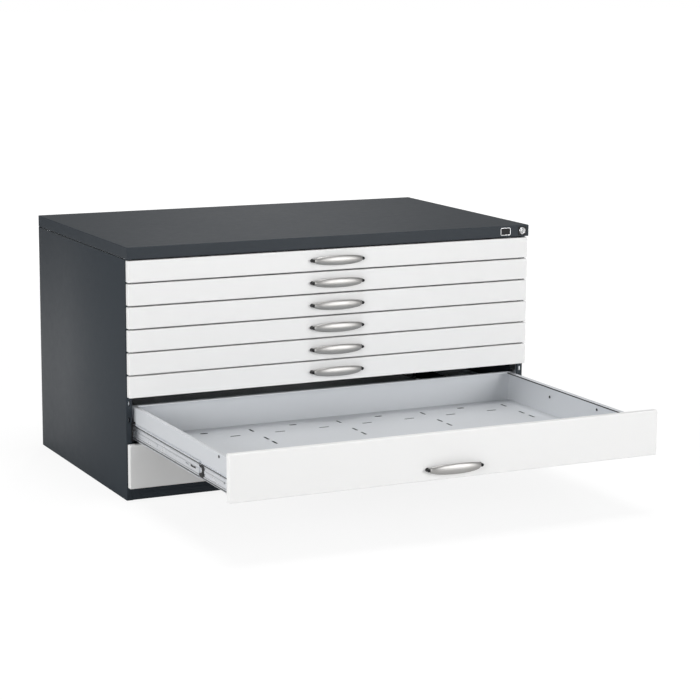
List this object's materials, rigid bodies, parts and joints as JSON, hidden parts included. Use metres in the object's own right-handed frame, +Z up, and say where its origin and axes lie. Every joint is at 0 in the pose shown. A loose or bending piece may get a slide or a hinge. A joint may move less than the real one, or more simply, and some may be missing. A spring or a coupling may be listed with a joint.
{
  "type": "flat file cabinet",
  "caption": "Low wide steel plan chest with stacked shallow and deep drawers on telescopic slides, bow handles and one cylinder lock.",
  "frame": {"origin": "on the floor, under the middle of the cabinet body's footprint, on the underside of the base pan", "axes": "+Z up, -Y the front, to which the drawers pull out, +X to the right seen from the front"},
  "size_m": [1.35, 1.6001, 0.76],
  "materials": {
    "body": "dark slate powder coat, satin",
    "front": "white powder coat, satin",
    "tray": "light grey powder coat, satin",
    "slide": "zinc plated",
    "handle": "satin nickel plated",
    "lock": "polished"
  },
  "bodies": {
    "cabinet": {"side_panel_left": "body", "side_panel_right": "body", "base_pan": "body", "back_panel": "body", "top_cover": "body", "slide_rack_left": "slide", "slide_rack_right": "slide", "lock_housing": "lock"},
    "drawer_1": {"drawer_front_1": "front", "drawer_tray_1": "tray", "drawer_handle_1": "handle"},
    "slides_1": {"slide_member_left_1": "slide", "slide_member_right_1": "slide"},
    "drawer_2": {"drawer_front_2": "front", "drawer_tray_2": "tray", "drawer_handle_2": "handle"},
    "slides_2": {"slide_member_left_2": "slide", "slide_member_right_2": "slide"},
    "drawer_3": {"drawer_front_3": "front", "drawer_tray_3": "tray", "drawer_handle_3": "handle"},
    "slides_3": {"slide_member_left_3": "slide", "slide_member_right_3": "slide"},
    "drawer_4": {"drawer_front_4": "front", "drawer_tray_4": "tray", "drawer_handle_4": "handle"},
    "slides_4": {"slide_member_left_4": "slide", "slide_member_right_4": "slide"},
    "drawer_5": {"drawer_front_5": "front", "drawer_tray_5": "tray", "drawer_handle_5": "handle"},
    "slides_5": {"slide_member_left_5": "slide", "slide_member_right_5": "slide"},
    "drawer_6": {"drawer_front_6": "front", "drawer_tray_6": "tray", "drawer_handle_6": "handle"},
    "slides_6": {"slide_member_left_6": "slide", "slide_member_right_6": "slide"},
    "drawer_7": {"drawer_front_7": "front", "drawer_tray_7": "tray", "drawer_handle_7": "handle"},
    "slides_7": {"slide_member_left_7": "slide", "slide_member_right_7": "slide"},
    "drawer_8": {"drawer_front_8": "front", "drawer_tray_8": "tray", "drawer_handle_8": "handle"},
    "slides_8": {"slide_member_left_8": "slide", "slide_member_right_8": "slide"},
    "lock_cam": {"lock_barrel": "lock"},
    "lock_lift": {"lock_bar": "slide"}
  },
  "joints": [
    {"name": "drawer_1_pull", "type": "slide", "parent": "cabinet", "child": "drawer_1", "axis": [0, -1, 0], "range_m": [0, 0.75]},
    {"name": "slides_1_travel", "type": "slide", "parent": "cabinet", "child": "slides_1", "axis": [0, -1, 0], "range_m": [0, 0.555]},
    {"name": "drawer_2_pull", "type": "slide", "parent": "cabinet", "child": "drawer_2", "axis": [0, -1, 0], "range_m": [0, 0.75]},
    {"name": "slides_2_travel", "type": "slide", "parent": "cabinet", "child": "slides_2", "axis": [0, -1, 0], "range_m": [0, 0.555]},
    {"name": "drawer_3_pull", "type": "slide", "parent": "cabinet", "child": "drawer_3", "axis": [0, -1, 0], "range_m": [0, 0.75]},
    {"name": "slides_3_travel", "type": "slide", "parent": "cabinet", "child": "slides_3", "axis": [0, -1, 0], "range_m": [0, 0.555]},
    {"name": "drawer_4_pull", "type": "slide", "parent": "cabinet", "child": "drawer_4", "axis": [0, -1, 0], "range_m": [0, 0.75]},
    {"name": "slides_4_travel", "type": "slide", "parent": "cabinet", "child": "slides_4", "axis": [0, -1, 0], "range_m": [0, 0.555]},
    {"name": "drawer_5_pull", "type": "slide", "parent": "cabinet", "child": "drawer_5", "axis": [0, -1, 0], "range_m": [0, 0.75]},
    {"name": "slides_5_travel", "type": "slide", "parent": "cabinet", "child": "slides_5", "axis": [0, -1, 0], "range_m": [0, 0.555]},
    {"name": "drawer_6_pull", "type": "slide", "parent": "cabinet", "child": "drawer_6", "axis": [0, -1, 0], "range_m": [0, 0.75]},
    {"name": "slides_6_travel", "type": "slide", "parent": "cabinet", "child": "slides_6", "axis": [0, -1, 0], "range_m": [0, 0.555]},
    {"name": "drawer_7_pull", "type": "slide", "parent": "cabinet", "child": "drawer_7", "axis": [0, -1, 0], "range_m": [-0.75, 0]},
    {"name": "slides_7_travel", "type": "slide", "parent": "cabinet", "child": "slides_7", "axis": [0, -1, 0], "range_m": [-0.555, 0]},
    {"name": "drawer_8_pull", "type": "slide", "parent": "cabinet", "child": "drawer_8", "axis": [0, -1, 0], "range_m": [0, 0.75]},
    {"name": "slides_8_travel", "type": "slide", "parent": "cabinet", "child": "slides_8", "axis": [0, -1, 0], "range_m": [0, 0.555]},
    {"name": "lock_turn", "type": "hinge", "parent": "cabinet", "child": "lock_cam", "pos_m": [0.651, -0.422, 0.742], "axis": [0, -1, 0], "range_deg": [0, 90]},
    {"name": "lock_bar_lift", "type": "slide", "parent": "cabinet", "child": "lock_lift", "axis": [0, 0, 1], "range_m": [0, 0.01344]}
  ],
  "couplings": [
    {"joint": "slides_1_travel", "follows": "drawer_1_pull", "ratio": 0.74},
    {"joint": "slides_2_travel", "follows": "drawer_2_pull", "ratio": 0.74},
    {"joint": "slides_3_travel", "follows": "drawer_3_pull", "ratio": 0.74},
    {"joint": "slides_4_travel", "follows": "drawer_4_pull", "ratio": 0.74},
    {"joint": "slides_5_travel", "follows": "drawer_5_pull", "ratio": 0.74},
    {"joint": "slides_6_travel", "follows": "drawer_6_pull", "ratio": 0.74},
    {"joint": "slides_7_travel", "follows": "drawer_7_pull", "ratio": 0.74},
    {"joint": "slides_8_travel", "follows": "drawer_8_pull", "ratio": 0.74},
    {"joint": "lock_turn", "follows": "lock_bar_lift", "rad_per_m": 116.92}
  ]
}
